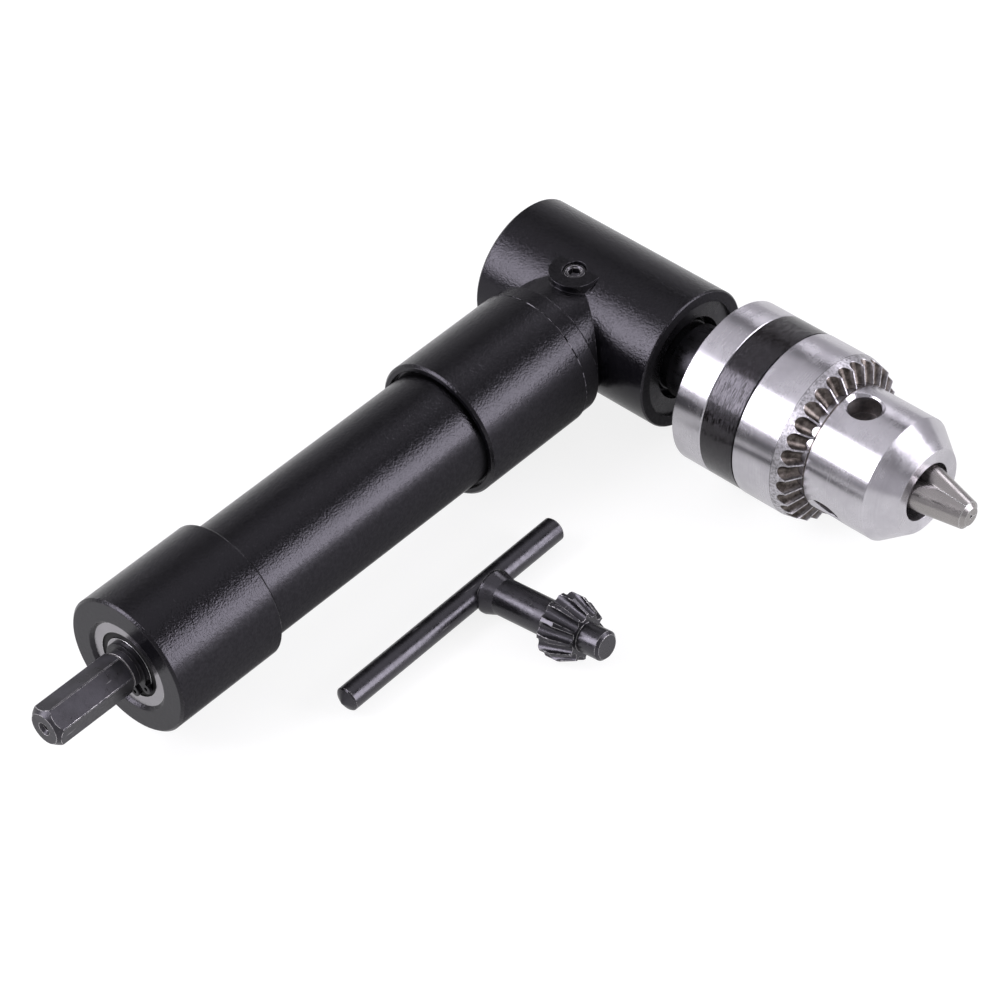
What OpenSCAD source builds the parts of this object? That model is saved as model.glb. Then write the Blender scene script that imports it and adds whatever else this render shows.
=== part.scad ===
// Right angle drill attachment with a keyed chuck, and its chuck key.
// The drive shaft runs along X and the spindle along Y. Their axes cross inside the head.
// The part lies on the plane z = 0, and the origin is the middle of its box on that plane.

/* [Handle] */
// Wall of the rear collar around the grip tube
rear_collar_wall = 2.1; // [1.6:0.05:2.6]
// Length of the rear collar
rear_collar_len = 27.2; // [24:0.1:34]
// Wall of the grip tube
tube_wall = 4.4; // [2:0.1:4.4]
// Length of grip tube that shows between the collars
tube_show_len = 59.6; // [40:0.1:90]
// Depth of the grip tube inside the rear collar
rear_socket_depth = 16.5; // [10:0.1:17]
// Wall of the front collar around the grip tube
front_collar_wall = 2.15; // [1.6:0.05:2.6]
// Length of the front collar
front_collar_len = 28; // [26:0.1:36]
// Depth of the grip tube inside the front collar
front_socket_depth = 10.8; // [6:0.1:11]
// Width of the groove around the tube in the rear end of the front collar
collar_groove_w = 0.7; // [0.3:0.1:1.2]
// Depth of that groove
collar_groove_depth = 1.2; // [0.4:0.1:3]
// Edge chamfer of the collars
collar_chamfer = 0.5; // [0.1:0.1:1]

/* [Head] */
// Wall of the head barrel around the outer spindle bearing
head_wall = 2.5; // [2:0.1:3]
// Length of the head barrel from the drive axis to its open end
head_front = 25; // [24.6:0.1:30]
// Wall of the closed end of the head barrel
back_wall = 1.6; // [1.2:0.1:4]
// Room in the head barrel around the gears
gear_room = 1.55; // [1.2:0.05:1.8]
// Step from the front collar down to the ring of the neck
neck_ring_step = 0.35; // [0.2:0.05:0.6]
// Length of that ring
neck_ring_len = 4.4; // [3:0.1:8]
// Distance from the spindle axis to that ring
neck_reach = 16.8; // [16:0.1:20]
// Step from that ring down to the neck
neck_step = 1.7; // [1.4:0.1:1.8]
// Length of the spigot inside the front collar
spigot_len = 16.6; // [12:0.1:17]
// Wall of the spigot around the neck bearing
spigot_wall = 2.1; // [1.9:0.05:2.3]
// Room in the neck around the drive pinion
pinion_room = 0.25; // [0.15:0.05:0.3]
// Radius of the round lug on top of the head
lug_r = 5.4; // [4.5:0.1:6.5]
// Distance of the lug behind the spindle axis
lug_back = 6.9; // [6:0.1:8]
// Distance of the lug toward the closed end
lug_side = 0.4; // [0:0.1:1]
// Height of the lug's flat top above the axes
lug_top = 14.55; // [14.2:0.05:15]
// Diameter of the grease screw in the lug
grease_screw_d = 5; // [4:0.5:6]
// Length of the grease screw
grease_screw_len = 3.2; // [2.4:0.1:3.4]
// Depth of the grease screw below the lug's top
grease_screw_sink = 0.3; // [0.1:0.1:0.6]
// Hexagon socket of the grease screw, across the flats
grease_socket_af = 2.5; // [2:0.1:3]

/* [Bearings] */
// Bore of the three shaft bearings
shaft_bearing_bore = 8; // [7.6:0.1:8.4]
// Outer diameter of the rear bearing
rear_bearing_d = 19; // [18:0.1:20]
// Width of the rear bearing
rear_bearing_w = 6; // [5.4:0.1:7]
// Outer diameter of the neck bearing and the inner spindle bearing
mid_bearing_d = 22; // [21.8:0.1:22.4]
// Width of those two bearings
mid_bearing_w = 7; // [6.8:0.1:7.2]
// Bore of the outer spindle bearing
spindle_bearing_bore = 10; // [9.6:0.1:10.4]
// Outer diameter of the outer spindle bearing
spindle_bearing_d = 26; // [25.4:0.1:26.4]
// Width of the outer spindle bearing
spindle_bearing_w = 8; // [7.5:0.1:8.2]
// Depth of the rear bearing behind the face of the rear collar
rear_bearing_recess = 0.7; // [0.3:0.1:1.2]
// Width of the bevelled mouth around the rear bearing
rear_mouth_w = 0.7; // [0.4:0.1:1.2]
// Running clearance of balls in their grooves
ball_clearance = 0.02; // [0.01:0.01:0.05]

/* [Drive shaft] */
// Hexagon of the shank, across the flats
hex_af = 8; // [7.5:0.1:8.4]
// Length of the hexagon shank outside the rear collar
shank_len = 21.5; // [16:0.1:40]
// Turn of the hexagon about its axis
hex_turn = 10.7; // [0:0.1:60]
// Diameter of the flat at the end of the shank
shank_face_d = 6.8; // [5:0.1:7.2]
// Length of the turned chamfer at the end of the shank
shank_chamfer_len = 1.3; // [0.6:0.1:2.5]
// Diameter of the centre hole in the end of the shank
centre_hole_d = 1.7; // [1:0.1:2.5]
// Depth of the centre hole
centre_hole_depth = 2.6; // [1:0.1:5]
// Diameter of the shaft end inside the drive pinion
pinion_seat_d = 6.4; // [5.5:0.1:6.8]
// Length of round shaft between the hexagon and the rear bearing
shank_neck_len = 2.3; // [1.8:0.1:4]

/* [Snap rings] */
// Thickness of the snap rings
snap_t = 0.9; // [0.6:0.1:1.1]
// Width of a snap ring's band
snap_band = 1.5; // [1.2:0.1:1.8]
// Depth of the groove that a snap ring sits in
snap_groove = 0.2; // [0.1:0.05:0.4]
// Radius of a snap ring's ears
snap_ear_r = 1.15; // [0.9:0.05:1.3]
// Diameter of the holes in the ears
snap_hole_d = 0.9; // [0.6:0.1:1.2]
// Width of a snap ring's opening
snap_gap = 2.2; // [1.4:0.1:3]

/* [Bevel gears] */
// Module of the bevel gears at their large end
bevel_module = 1.2; // [1.1:0.05:1.2]
// Length of the bevel teeth along the axis
bevel_face = 3.2; // [2.4:0.1:3.4]
// Play between the flanks of the bevel teeth
bevel_play = 0.3; // [0.2:0.05:0.4]
// Width and height of the feather keys under the gears
feather_w = 2; // [1.5:0.1:2.2]
// Diameter of the hubs behind the bevel teeth
bevel_hub_d = 12; // [11:0.1:13]

/* [Spindle] */
// Diameter of the spindle flange in front of the chuck
flange_d = 16.4; // [14:0.1:18]
// Diameter of the spindle thread inside the chuck
spindle_thread_d = 9.5; // [9:0.1:10]
// Length of that thread
spindle_thread_len = 14; // [10:0.1:14.4]
// Depth of the cover plate in the open end of the head
cover_sink = 0.8; // [0.2:0.1:1]
// Thickness of the cover plate
cover_t = 1.4; // [1:0.1:1.5]
// Diameter of the hole in the cover plate
cover_hole_d = 18.6; // [18.4:0.1:20]

/* [Chuck] */
// Distance from the drive axis to the rear face of the chuck
chuck_back = 35; // [34:0.1:38]
// Width of the bright rear flange of the chuck
flange_band_w = 7.6; // [6:0.1:9]
// Step from the sleeve down to the rear flange and the black band
band_step = 0.1; // [0.05:0.05:0.2]
// Width of the black band
black_band_w = 8.1; // [6:0.1:9]
// Wall of the black band
black_band_wall = 0.4; // [0.2:0.05:0.45]
// Gap between the black band and the sleeve
sleeve_gap = 0.15; // [0.1:0.05:0.4]
// Diameter of the ring gear sleeve
sleeve_d = 36; // [35.8:0.1:37]
// Length of the sleeve's cylinder
sleeve_straight_len = 9.8; // [9:0.1:11]
// Length of the tapered rim between the cylinder and the tooth crests
sleeve_taper_len = 3.5; // [3:0.1:4]
// Length of the tooth crests along the chuck axis
crest_len = 1.5; // [1:0.1:2]
// Drop of the tapered rim, from the sleeve's radius to the outer ends of the tooth crests
rim_drop = 0.7; // [0.5:0.1:0.9]
// Width of the ring of tooth crests
crest_w = 3.4; // [3.2:0.1:3.5]
// Teeth of the ring gear
ring_teeth = 30; // [28:1:32]
// Radius of the tooth gaps at the outer end
gap_outer_r = 1.65; // [1.2:0.05:1.7]
// Radius of the tooth gaps at the inner end
gap_inner_r = 1.3; // [0.9:0.05:1.35]
// Step from the tooth crests down to the nose
nose_step = 0.3; // [0.2:0.05:0.4]
// Length of the nose from the tooth crests to its cone
nose_len = 14.8; // [13:0.1:18]
// Length of the cone at the end of the nose
cone_len = 5.6; // [4:0.1:6]
// Diameter of the flat face at the end of the cone
face_d = 18.8; // [17:0.1:20]
// Diameter of the mouth
mouth_d = 12.9; // [12:0.1:14]
// Depth of the mouth
mouth_depth = 6; // [3:0.1:8]
// Diameter of the bore between the jaws
core_bore_d = 10.4; // [9.5:0.1:11]
// Radial clearance of the turning sleeve
sleeve_fit = 0.06; // [0.03:0.01:0.1]
// Diameter of the key holes
key_hole_d = 6.9; // [6.7:0.1:7.2]
// Diameter of the countersink of a key hole
key_sink_d = 8; // [7.4:0.1:8.4]
// Distance from the tooth crests to the axis of the key holes
key_hole_ahead = 4.4; // [4.3:0.1:5]
// Radius at which a key hole ends
key_hole_floor = 8.6; // [8.6:0.1:9.5]

/* [Jaws] */
// Diameter of a jaw
jaw_d = 6.4; // [6:0.1:6.6]
// Cover of the sleeve over the closed jaws at its rear end
jaw_cover = 3.3; // [3.2:0.1:3.4]
// Reach of the closed jaws past the face of the nose
jaw_reach = 11; // [9:0.1:13]
// Length of the jaws along the chuck axis
jaw_len = 40; // [39:0.1:40.5]
// Radius of the closed jaws at their tips
jaw_tip_r = 2.8; // [2.6:0.1:3]
// Step from the split nut down to the back of the closed jaws
jaw_back_step = 2.4; // [2.3:0.05:2.6]
// Stroke of the jaws along the chuck axis
jaw_stroke = 19.4; // [16:0.1:19.5]
// Turn of the jaws about the chuck axis
jaw_turn = 15; // [0:1:45]
// Flat on the gripping edge of a jaw
jaw_land = 0.3; // [0.1:0.1:0.6]
// Clearance of a jaw in its bore and beside its neighbours
jaw_fit = 0.03; // [0.02:0.01:0.06]
// Chamfer on the tip of a jaw
jaw_chamfer = 0.8; // [0.3:0.1:1.2]
// Pitch of the jaw thread
jaw_pitch = 1.3; // [1.1:0.1:1.6]
// Depth of the jaw thread
jaw_thread_depth = 0.45; // [0.2:0.05:0.6]
// Wall of the sleeve around the split nut
sleeve_wall = 3.6; // [3.5:0.05:3.7]
// Width of the split nut's slot in the chuck body
nut_slot_w = 4.8; // [4:0.1:5]
// Gap between the halves of the split nut
nut_split = 0.2; // [0.1:0.1:0.4]
// Diameter of the chuck screw's head
chuck_screw_head_d = 8.4; // [7.4:0.1:9]
// Diameter of the chuck screw
chuck_screw_d = 5; // [4:0.5:6]
// Height of the chuck screw's head
chuck_screw_head_h = 3; // [2:0.1:3.4]

/* [Chuck key] */
// Diameter of the cross bar
bar_d = 5.3; // [4.6:0.1:5.6]
// Length of the long side of the cross bar
bar_long = 40; // [25:0.1:50]
// Length of the short side of the cross bar
bar_short = 21.5; // [12:0.1:40]
// Diameter of the key shank
key_shank_d = 7.7; // [7:0.1:8]
// Diameter of the shank's boss around the bar
key_boss_d = 9.4; // [8.6:0.1:10]
// Distance from the bar to the back of the key's pinion
key_pinion_start = 19.9; // [14:0.1:30]
// Length of the pinion's straight rim
key_rim_len = 3.3; // [2:0.1:4]
// Length of the pinion's cone
key_cone_len = 3.9; // [3:0.1:5]
// Diameter of the pinion's rim
key_rim_d = 13.6; // [12.6:0.1:14]
// Diameter of the small end of the pinion
key_small_d = 10.2; // [9.4:0.1:11]
// Teeth of the key's pinion
key_teeth = 12; // [11:1:13]
// Height of the cutter's axis over the rim where the tooth gaps start
key_gap_lift = 0.65; // [0.4:0.05:0.8]
// Radius of the pinion's tooth gaps at the rim
key_gap_r = 1.5; // [1.2:0.05:1.55]
// Radius of the pinion's tooth gaps at the small end
key_gap_small_r = 1.05; // [0.8:0.05:1.1]
// Diameter of the pilot
pilot_d = 6.3; // [6:0.1:6.5]
// Length of the pilot
pilot_len = 5.4; // [4:0.1:5.4]
// Place of the key's bar behind the spindle axis
key_back = 66.3; // [60:0.1:90]
// Place of the key's bar in front of the drive axis
key_side = 27.6; // [26:0.1:40]
// Turn of the key on the surface
key_turn = -88.9; // [-95:0.1:-85]

/* [Hidden] */
$fn = 96;

// One overrun for every cut
over = 1;
// Small edge break on turned pieces
edge = 0.3;
// Wall left between the tooth gaps and the split nut, as a share of a gap's radius
sleeve_wall_share = 0.4;
// Web between the spindle thread and the chuck screw's seat, as a share of the screw head's height
web_share = 0.6;
// Size of the chuck screw's hexagon socket, as a share of the screw's diameter
socket_share = 0.7;
// Length of the pointed end of the key's bar, as a share of the bar's radius
point_share = 0.5;
// Wall left behind the tooth gaps of the key's pinion
key_gap_wall = 0.25;
// Radius of the hexagon's rounded corners from the axis, as a share of the sharp corners' radius
corner_share = 0.985;
// Depth by which the key's bar sits in the end of its shank, as a share of the bar's radius
saddle_share = 0.2;
// Teeth and pressure angle of the bevel gears
bevel_teeth = 16;
bevel_pressure = 20;

// Stations along the drive axis, from the spindle axis backward
ring_back = neck_reach + neck_ring_len;
front_collar_back = ring_back + front_collar_len;
rear_collar_front = front_collar_back + tube_show_len;
rear_face = rear_collar_front + rear_collar_len;
shank_end = rear_face + shank_len;
rear_bearing_back = rear_face - rear_bearing_recess;
shank_shoulder = rear_bearing_back + shank_neck_len;
neck_bearing_front = neck_reach;
neck_bearing_back = neck_bearing_front + mid_bearing_w;

// Bevel gears: both pitch cones have their tip where the axes cross
pitch_r = bevel_module * bevel_teeth / 2;
bevel_small = pitch_r - bevel_face;

bevel_tip_r = pitch_r + bevel_module / sqrt(2);

// Diameters of the handle and the head, which follow the bearings and the gears
tube_d = mid_bearing_d + 2 * spigot_wall;
rear_collar_d = tube_d + 2 * rear_collar_wall;
front_collar_d = tube_d + 2 * front_collar_wall;
neck_ring_d = front_collar_d - 2 * neck_ring_step;
neck_d = neck_ring_d - 2 * neck_step;
neck_bore_d = 2 * (bevel_tip_r + pinion_room);
gear_room_d = 2 * (bevel_tip_r + gear_room);
head_d = spindle_bearing_d + 2 * head_wall;
rear_mouth_d = rear_bearing_d + 2 * rear_mouth_w;

// Stations along the spindle axis, the closed end positive
inner_bearing_front = pitch_r + bevel_module;
inner_bearing_back = inner_bearing_front + mid_bearing_w;
spindle_tip = inner_bearing_back + snap_t + edge;
head_back = spindle_tip + edge + back_wall;
outer_bearing_front = -head_front + cover_sink + cover_t;
outer_bearing_back = outer_bearing_front + spindle_bearing_w;

// Diameters of the chuck, which follow the sleeve
flange_band_d = sleeve_d - 2 * band_step;
crest_outer_d = sleeve_d - 2 * rim_drop;
crest_inner_d = crest_outer_d - 2 * crest_w;
nose_d = crest_inner_d - 2 * nose_step;
nut_d = sleeve_d - 2 * sleeve_wall;
jaw_back_r = nut_d / 2 - jaw_back_step;

// Stations along the chuck, forward from the drive axis
flange_front = chuck_back + flange_band_w;
band_front = flange_front + black_band_w;
sleeve_start = band_front + sleeve_gap;
taper_start = sleeve_start + sleeve_straight_len;
crest_start = taper_start + sleeve_taper_len;
crest_end = crest_start + crest_len;
cone_start = crest_end + nose_len;
nose_face = cone_start + cone_len;
jaw_tip = nose_face + jaw_reach;
jaw_back = jaw_tip - jaw_len;
key_hole_at = crest_end + key_hole_ahead;
nut_slot_front = crest_end - gap_outer_r - sleeve_wall_share * gap_outer_r;
nut_slot_back = nut_slot_front - nut_slot_w;
screw_seat = chuck_back + spindle_thread_len + web_share * chuck_screw_head_h;

pinion_hub_len = neck_bearing_front - pitch_r;
gear_hub_len = inner_bearing_front - pitch_r;
feather_len = gear_hub_len + bevel_face / 2;
// Turn of the shaft's snap ring about its axis
snap_turn = -40;

// Slant of the jaws to the chuck axis, and the largest drill that they take
jaw_slant = atan((sleeve_d / 2 - jaw_cover - jaw_tip_r) / (jaw_tip - sleeve_start));
capacity = 2 * jaw_stroke * tan(jaw_slant);
// Radius of the outermost line of a closed jaw at a station of the chuck
function jaw_line(at) = jaw_tip_r + (jaw_tip - at) * tan(jaw_slant);
jaw_axis_r = jaw_tip_r - jaw_d / 2 / cos(jaw_slant);
jaw_room_r = jaw_back_r + capacity / 2 + jaw_fit;
// Station at which the line of a jaw has a given radius
function jaw_line_at(r) = jaw_tip - (r - jaw_tip_r) / tan(jaw_slant);
land_r = nut_d / 2 - sleeve_fit;
jaw_turns = [jaw_turn, jaw_turn + 120, jaw_turn + 240];
jaw_slot_r = jaw_line(nut_slot_front) - edge;
key_sink_drop = (nose_d - sqrt(nose_d * nose_d - key_sink_d * key_sink_d)) / 4;
key_sink_depth = (key_sink_d - key_hole_d) / 2 + key_sink_drop;

// Chuck key: its hub ends at the bar, and the back edges of the hub and the pinion rest on the surface
hub_end = bar_d / 2 * (1 - saddle_share);
hub_neck = key_boss_d / 2 + over;
key_tilt = atan((key_rim_d - key_boss_d) / 2 / (key_pinion_start - hub_end));
key_rise = key_boss_d / 2 * cos(key_tilt) - (hub_end + edge) * sin(key_tilt);
key_small_at = key_pinion_start + key_rim_len + key_cone_len;

// Box of the part, which sets the origin
base_drop = sleeve_d / 2;
mid_x = (base_drop - shank_end) / 2;
mid_y = (head_back - jaw_tip) / 2;

// Bearings as [bore, outer diameter, width, balls]
rear_bearing = [shaft_bearing_bore, rear_bearing_d, rear_bearing_w, 8];
mid_bearing = [shaft_bearing_bore, mid_bearing_d, mid_bearing_w, 7];
outer_bearing = [spindle_bearing_bore, spindle_bearing_d, spindle_bearing_w, 8];
inner_race_share = 0.36;
outer_race_share = 0.39;
ball_share = 0.32;
cage_share = 1.16;
cage_wall_share = 0.14;
function race_gap(b) = (b[1] - b[0]) / 2;
function ball_ring_r(b) = (b[1] + b[0]) / 4;
function ball_r(b) = ball_share * race_gap(b);

// Places the part's own frame on the surface
module placed() {
  translate([-mid_x, -mid_y, base_drop]) children();
}

// Turns a solid built along z so that it runs along +X from the station x
module along_x(x) {
  translate([x, 0, 0]) rotate([0, 90, 0]) children();
}

// Turns a solid built along z so that it runs along +Y from the station y
module along_y(y) {
  translate([0, y, 0]) rotate([-90, 0, 0]) children();
}

// Turns a profile of radius and station so that stations run forward along the chuck
module chuck_turned(points) {
  rotate([90, 0, 0]) rotate_extrude() polygon(points);
}

module ring(r_in, r_out, h) {
  difference() {
    cylinder(r = r_out, h = h);
    translate([0, 0, -over]) cylinder(r = r_in, h = h + 2 * over);
  }
}

// A cylinder with chamfered ends
module chamfered(r, h, low, high) {
  rotate_extrude() polygon([
    [0, 0], [r - low, 0], [r, low], [r, h - high], [r - high, h], [0, h]
  ]);
}

// Bearing pieces, from z = 0 to the bearing's width
module race_groove(b) {
  translate([0, 0, b[2] / 2]) rotate_extrude() translate([ball_ring_r(b), 0])
    circle(r = ball_r(b) + ball_clearance);
}

module outer_race(b) {
  difference() {
    ring(b[1] / 2 - outer_race_share * race_gap(b), b[1] / 2, b[2]);
    race_groove(b);
  }
}

module inner_race(b) {
  difference() {
    ring(b[0] / 2, b[0] / 2 + inner_race_share * race_gap(b), b[2]);
    race_groove(b);
  }
}

module each_ball(b) {
  for (i = [0 : b[3] - 1])
    rotate([0, 0, i * 360 / b[3]]) translate([ball_ring_r(b), 0, b[2] / 2]) children();
}

module balls(b) {
  each_ball(b) sphere(r = ball_r(b));
}

module cage(b) {
  wall = cage_wall_share * ball_r(b) * 2;
  width = cage_share * ball_r(b) * 2;
  difference() {
    translate([0, 0, (b[2] - width) / 2]) ring(ball_ring_r(b) - wall, ball_ring_r(b) + wall, width);
    each_ball(b) rotate([0, 90, 0])
      cylinder(r = ball_r(b) + 2 * ball_clearance, h = 4 * wall, center = true);
  }
}

// Snap ring for a shaft of the given diameter, its opening toward +x
module snap_ring(shaft_d) {
  seat_r = shaft_d / 2 - snap_groove;
  ear_at = seat_r + snap_band;
  difference() {
    union() {
      cylinder(r = seat_r + snap_band, h = snap_t);
      for (s = [-1, 1])
        translate([ear_at, s * (snap_gap / 2 + snap_ear_r), 0]) cylinder(r = snap_ear_r, h = snap_t);
    }
    translate([0, 0, -over]) cylinder(r = seat_r, h = snap_t + 2 * over);
    translate([0, -snap_gap / 2, -over]) cube([ear_at + snap_ear_r + over, snap_gap, snap_t + 2 * over]);
    for (s = [-1, 1])
      translate([ear_at, s * (snap_gap / 2 + snap_ear_r), -over])
        cylinder(d = snap_hole_d, h = snap_t + 2 * over, $fn = 24);
  }
}

// Bevel gear with its cone tip at the origin and its large end at z = -pitch_r.
// Each flank point is an involute point of the back cone, seen from the cone's tip.
function involute(a) = tan(a) * 180 / PI - a;
function flank_angle(d) =
  let (virtual_r = pitch_r * sqrt(2),
       r = virtual_r + d,
       thick = 90 / (bevel_teeth * sqrt(2)) + involute(bevel_pressure)
         - involute(acos(min(1, virtual_r * cos(bevel_pressure) / r))))
  (thick * PI / 180 * r - bevel_play / 4) / (pitch_r + d / sqrt(2)) * 180 / PI;
function flank_r(d) = (pitch_r + d / sqrt(2)) * pitch_r / (pitch_r - d / sqrt(2));
flank_shares = [-1.25, -0.75, -0.25, 0.25, 0.6, 0.92];

module bevel_teeth_solid() {
  rise = [for (s = flank_shares) s * bevel_module];
  last = len(rise) - 1;
  linear_extrude(height = bevel_face, scale = bevel_small / pitch_r) polygon([
    for (i = [0 : bevel_teeth - 1], k = [0 : 2 * last + 1])
      let (d = rise[k <= last ? k : 2 * last + 1 - k],
           side = k <= last ? -1 : 1,
           a = i * 360 / bevel_teeth + side * flank_angle(d))
      flank_r(d) * [cos(a), sin(a)]
  ]);
}

module bevel_gear(bore_d, hub_len) {
  difference() {
    union() {
      translate([0, 0, -pitch_r]) bevel_teeth_solid();
      translate([0, 0, -pitch_r - hub_len]) cylinder(d = bevel_hub_d, h = hub_len + over);
    }
    translate([0, 0, -pitch_r]) rotate_extrude() polygon([
      [pitch_r, -over], [pitch_r + 2 * bevel_face, -over], [pitch_r + 2 * bevel_face, 2 * bevel_face],
      [pitch_r, 0]
    ]);
    translate([0, 0, -pitch_r - hub_len - over]) cylinder(d = bore_d, h = pitch_r + hub_len + over);
  }
}

// Feather key from z = 0 upward on a shaft of the given diameter
module feather(shaft_d, len) {
  translate([-feather_w / 2, shaft_d / 2 - feather_w / 2, 0]) cube([feather_w, feather_w, len]);
}

// Handle
module rear_collar() {
  color("#15151a") placed() difference() {
    along_x(-rear_face) chamfered(rear_collar_d / 2, rear_collar_len, collar_chamfer, collar_chamfer);
    along_x(-rear_face - over)
      cylinder(d = rear_bearing_d, h = rear_bearing_recess + rear_bearing_w + over);
    along_x(-rear_face) rotate_extrude() polygon([
      [0, -over], [rear_mouth_d / 2, -over], [rear_mouth_d / 2, 0],
      [rear_bearing_d / 2, rear_bearing_recess], [0, rear_bearing_recess]
    ]);
    along_x(-rear_face - over) cylinder(r = ball_ring_r(rear_bearing), h = rear_collar_len);
    along_x(-rear_collar_front - rear_socket_depth)
      cylinder(d = tube_d, h = rear_socket_depth + over);
  }
}

module grip_tube() {
  start = rear_collar_front + rear_socket_depth;
  color("#17171c") placed() along_x(-start)
    ring(tube_d / 2 - tube_wall, tube_d / 2, rear_socket_depth + tube_show_len + front_socket_depth);
}

module front_collar() {
  color("#15151a") placed() difference() {
    along_x(-front_collar_back) chamfered(front_collar_d / 2, front_collar_len, collar_chamfer, 0);
    along_x(-front_collar_back - over) cylinder(d = tube_d, h = front_collar_len + 2 * over);
    along_x(-front_collar_back - over)
      cylinder(d = tube_d + 2 * collar_groove_w, h = collar_groove_depth + over);
  }
}

// Head
module lug_body() {
  translate([-lug_back, lug_side, 0]) cylinder(r = lug_r, h = lug_top);
  translate([-lug_back, lug_side - lug_r, 0]) cube([lug_back, 2 * lug_r, lug_top]);
}

module head_housing() {
  color("#141419") placed() difference() {
    union() {
      along_y(-head_front) chamfered(head_d / 2, head_front + head_back, edge, collar_chamfer);
      along_x(-neck_reach - over) cylinder(d = neck_d, h = over + neck_reach);
      along_x(-ring_back) chamfered(neck_ring_d / 2, neck_ring_len, 0, collar_chamfer);
      along_x(-ring_back - spigot_len) cylinder(d = tube_d, h = spigot_len + neck_ring_len);
      lug_body();
    }
    along_y(-head_front - over) cylinder(d = spindle_bearing_d, h = head_front + outer_bearing_back + over);
    along_y(outer_bearing_back - over)
      cylinder(d = gear_room_d, h = inner_bearing_front - outer_bearing_back + over);
    along_y(0) cylinder(d = mid_bearing_d, h = inner_bearing_back);
    along_y(0) cylinder(r = ball_ring_r(mid_bearing), h = spindle_tip + edge);
    along_x(-ring_back - spigot_len - over)
      cylinder(d = mid_bearing_d, h = ring_back + spigot_len - neck_bearing_front + over);
    along_x(-neck_bearing_front - over) cylinder(d = neck_bore_d, h = neck_bearing_front + over);
    translate([-lug_back, lug_side, 0]) cylinder(d = grease_screw_d, h = lug_top + over);
  }
}

module grease_screw() {
  top = lug_top - grease_screw_sink;
  socket_r = grease_socket_af / sqrt(3);
  color("#1c1c22") placed() translate([-lug_back, lug_side, top - grease_screw_len]) difference() {
    chamfered(grease_screw_d / 2, grease_screw_len, edge, edge);
    translate([0, 0, grease_screw_len / 2]) cylinder(r = socket_r, h = grease_screw_len, $fn = 6);
    translate([0, 0, grease_screw_len - edge])
      cylinder(r1 = socket_r, r2 = socket_r + 2 * edge, h = 2 * edge);
    translate([0, 0, grease_screw_len / 4]) cylinder(r1 = 0, r2 = socket_r, h = grease_screw_len / 4);
  }
}

module cover_plate() {
  color("#1a1a1e") placed() along_y(-head_front + cover_sink)
    ring(cover_hole_d / 2, spindle_bearing_d / 2, cover_t);
}

// Rear bearing
module rear_outer_race() {
  color("#b9b6bb") placed() along_x(-rear_bearing_back) outer_race(rear_bearing);
}

module rear_balls() {
  color("#c9c9ce") placed() along_x(-rear_bearing_back) balls(rear_bearing);
}

module rear_cage() {
  color("#8f7a4e") placed() along_x(-rear_bearing_back) cage(rear_bearing);
}

module rear_seal() {
  b = rear_bearing;
  r_in = b[0] / 2 + inner_race_share * race_gap(b) + ball_clearance * 3;
  r_out = b[1] / 2 - outer_race_share * race_gap(b);
  color("#0c0c0e") placed() along_x(-rear_bearing_back + edge) ring(r_in, r_out, edge);
}

module rear_inner_race() {
  color("#6d6c72") placed() along_x(-rear_bearing_back) inner_race(rear_bearing);
}

// Neck bearing
module neck_outer_race() {
  color("#b9b6bb") placed() along_x(-neck_bearing_back) outer_race(mid_bearing);
}

module neck_balls() {
  color("#c9c9ce") placed() along_x(-neck_bearing_back) balls(mid_bearing);
}

module neck_cage() {
  color("#8f7a4e") placed() along_x(-neck_bearing_back) cage(mid_bearing);
}

module neck_inner_race() {
  color("#9d9ba1") placed() along_x(-neck_bearing_back) inner_race(mid_bearing);
}

// Spindle bearings
module inner_spindle_outer_race() {
  color("#b9b6bb") placed() along_y(inner_bearing_front) outer_race(mid_bearing);
}

module inner_spindle_balls() {
  color("#c9c9ce") placed() along_y(inner_bearing_front) balls(mid_bearing);
}

module inner_spindle_cage() {
  color("#8f7a4e") placed() along_y(inner_bearing_front) cage(mid_bearing);
}

module inner_spindle_inner_race() {
  color("#9d9ba1") placed() along_y(inner_bearing_front) inner_race(mid_bearing);
}

module outer_spindle_outer_race() {
  color("#b9b6bb") placed() along_y(outer_bearing_front) outer_race(outer_bearing);
}

module outer_spindle_balls() {
  color("#c9c9ce") placed() along_y(outer_bearing_front) balls(outer_bearing);
}

module outer_spindle_cage() {
  color("#8f7a4e") placed() along_y(outer_bearing_front) cage(outer_bearing);
}

module outer_spindle_inner_race() {
  color("#9d9ba1") placed() along_y(outer_bearing_front) inner_race(outer_bearing);
}

// Drive shaft and its pinion
module shank_blank() {
  corner_r = hex_af / sqrt(3) * corner_share;
  rotate_extrude() polygon([
    [0, 0], [shank_face_d / 2, 0], [corner_r, shank_chamfer_len],
    [corner_r, shank_end - shank_shoulder - 2 * edge], [hex_af / 2 - edge, shank_end - shank_shoulder],
    [0, shank_end - shank_shoulder]
  ]);
}

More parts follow.
